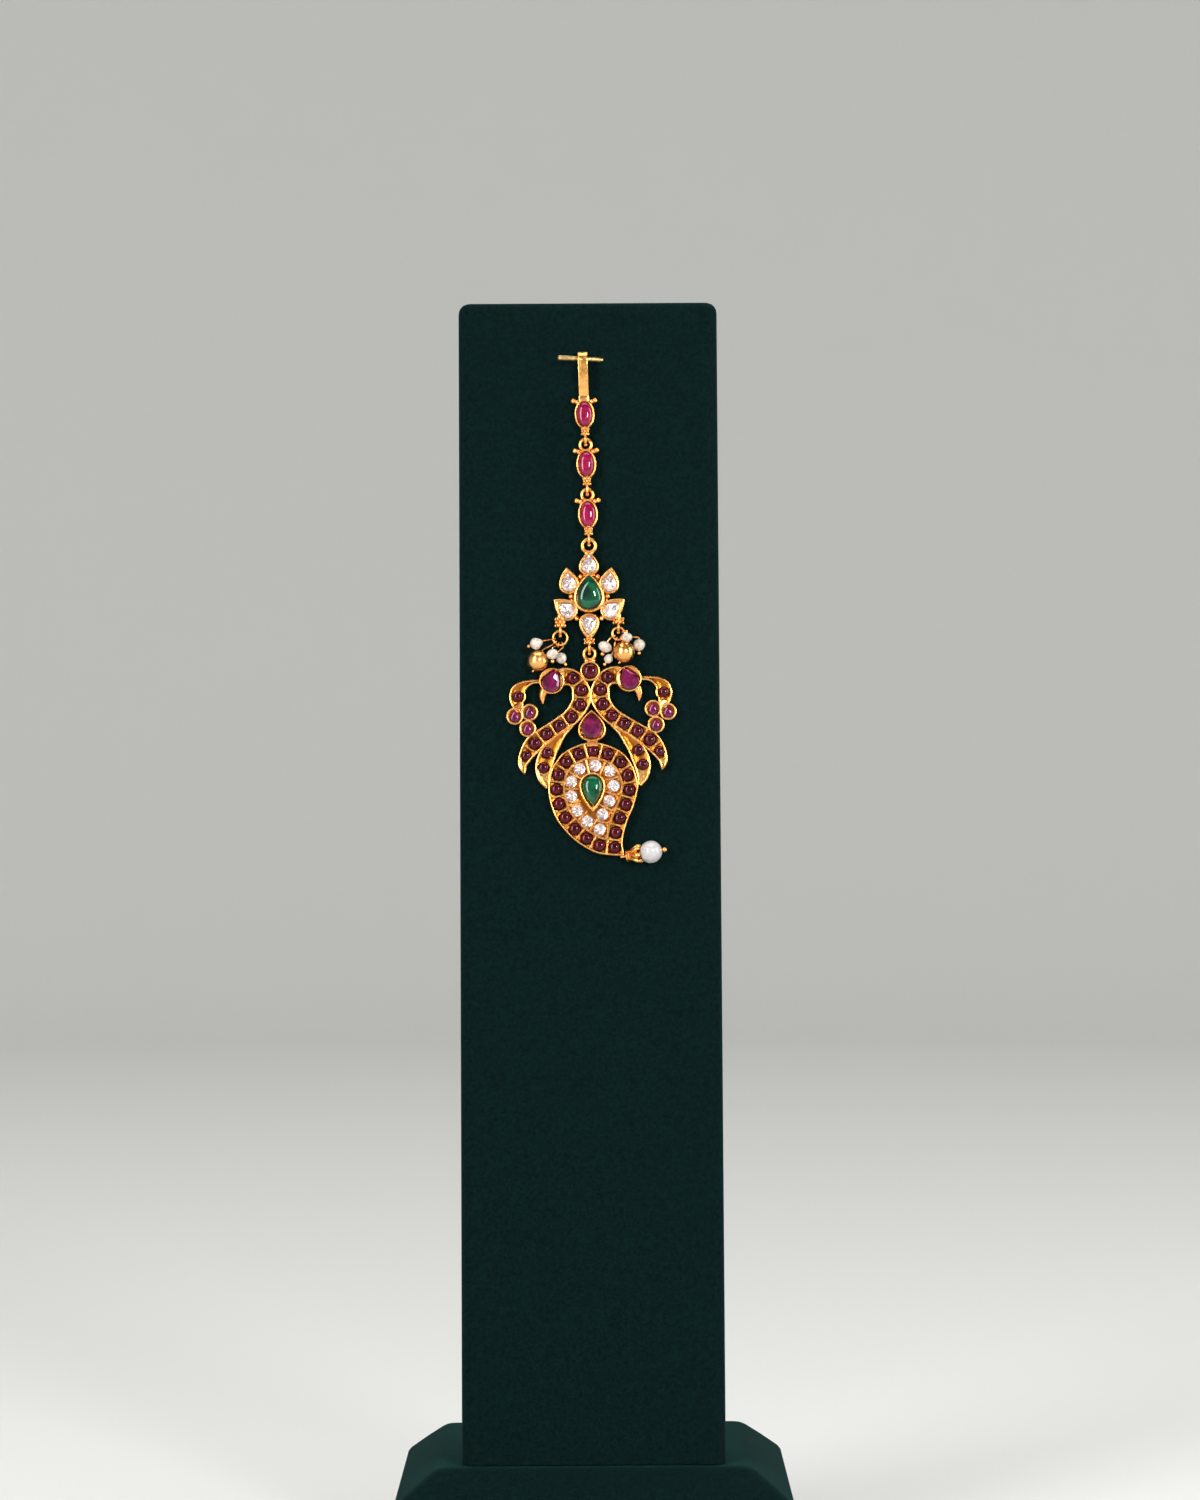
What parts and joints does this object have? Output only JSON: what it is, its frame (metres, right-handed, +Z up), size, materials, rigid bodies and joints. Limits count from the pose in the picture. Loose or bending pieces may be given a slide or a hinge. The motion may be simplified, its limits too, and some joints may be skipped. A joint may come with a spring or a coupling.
{
  "type": "maang tikka on a velvet display stand",
  "caption": "Gem-set gold forehead ornament with a ruby chain, flower, pearl clusters and a swinging peacock and mango drop, hung on a pin in a leaning velvet display stand.",
  "frame": {"origin": "middle of the square foot's underside, on the table", "axes": "+Z up, +X to the right of someone who looks at the jewel, +Y towards the back of the stand"},
  "size_m": [0.082, 0.082, 0.2637],
  "materials": {
    "velvet": "dark teal velvet",
    "pin_brass": "dull",
    "gold": "satin yellow gold, stood in by brass",
    "ruby": "polished pink ruby",
    "garnet": "polished dark garnet",
    "green_stone": "polished deep green",
    "white_stone": "polished clear white",
    "pearl": "pearl lustre"
  },
  "bodies": {
    "root": {"stand_base": "velvet", "stand_pillar": "velvet", "stand_pin": "pin_brass", "hook_link": "gold", "chain_link_2": "gold", "chain_link_3": "gold", "ruby_1": "ruby", "ruby_2": "ruby", "ruby_3": "ruby", "flower_setting": "gold", "flower_green": "green_stone", "flower_white_1": "white_stone", "flower_white_2": "white_stone", "flower_white_3": "white_stone", "flower_white_4": "white_stone", "flower_white_5": "white_stone", "flower_white_6": "white_stone", "jump_ring_left": "gold", "jump_ring_right": "gold", "seed_pearl_1": "pearl", "seed_pearl_2": "pearl", "seed_pearl_3": "pearl", "seed_pearl_4": "pearl", "seed_pearl_5": "pearl", "seed_pearl_6": "pearl", "seed_pearl_7": "pearl", "gold_ball_left": "gold", "gold_ball_right": "gold", "headpin_1": "gold", "headpin_2": "gold", "headpin_3": "gold", "headpin_4": "gold", "headpin_5": "gold", "headpin_6": "gold", "headpin_7": "gold", "headpin_8": "gold", "headpin_9": "gold"},
    "pendant": {"pendant_frame": "gold", "top_garnet": "garnet", "head_stone_left": "ruby", "head_stone_right": "ruby", "centre_ruby": "ruby", "mango_green": "green_stone", "tip_cap": "gold", "tip_pearl": "pearl"}
  },
  "joints": [
    {"name": "pendant_swing", "type": "hinge", "parent": "root", "child": "pendant", "pos_m": [0, -0.01778, 0.19116], "axis": [-1, 0, 0], "range_deg": [0, 30]}
  ]
}
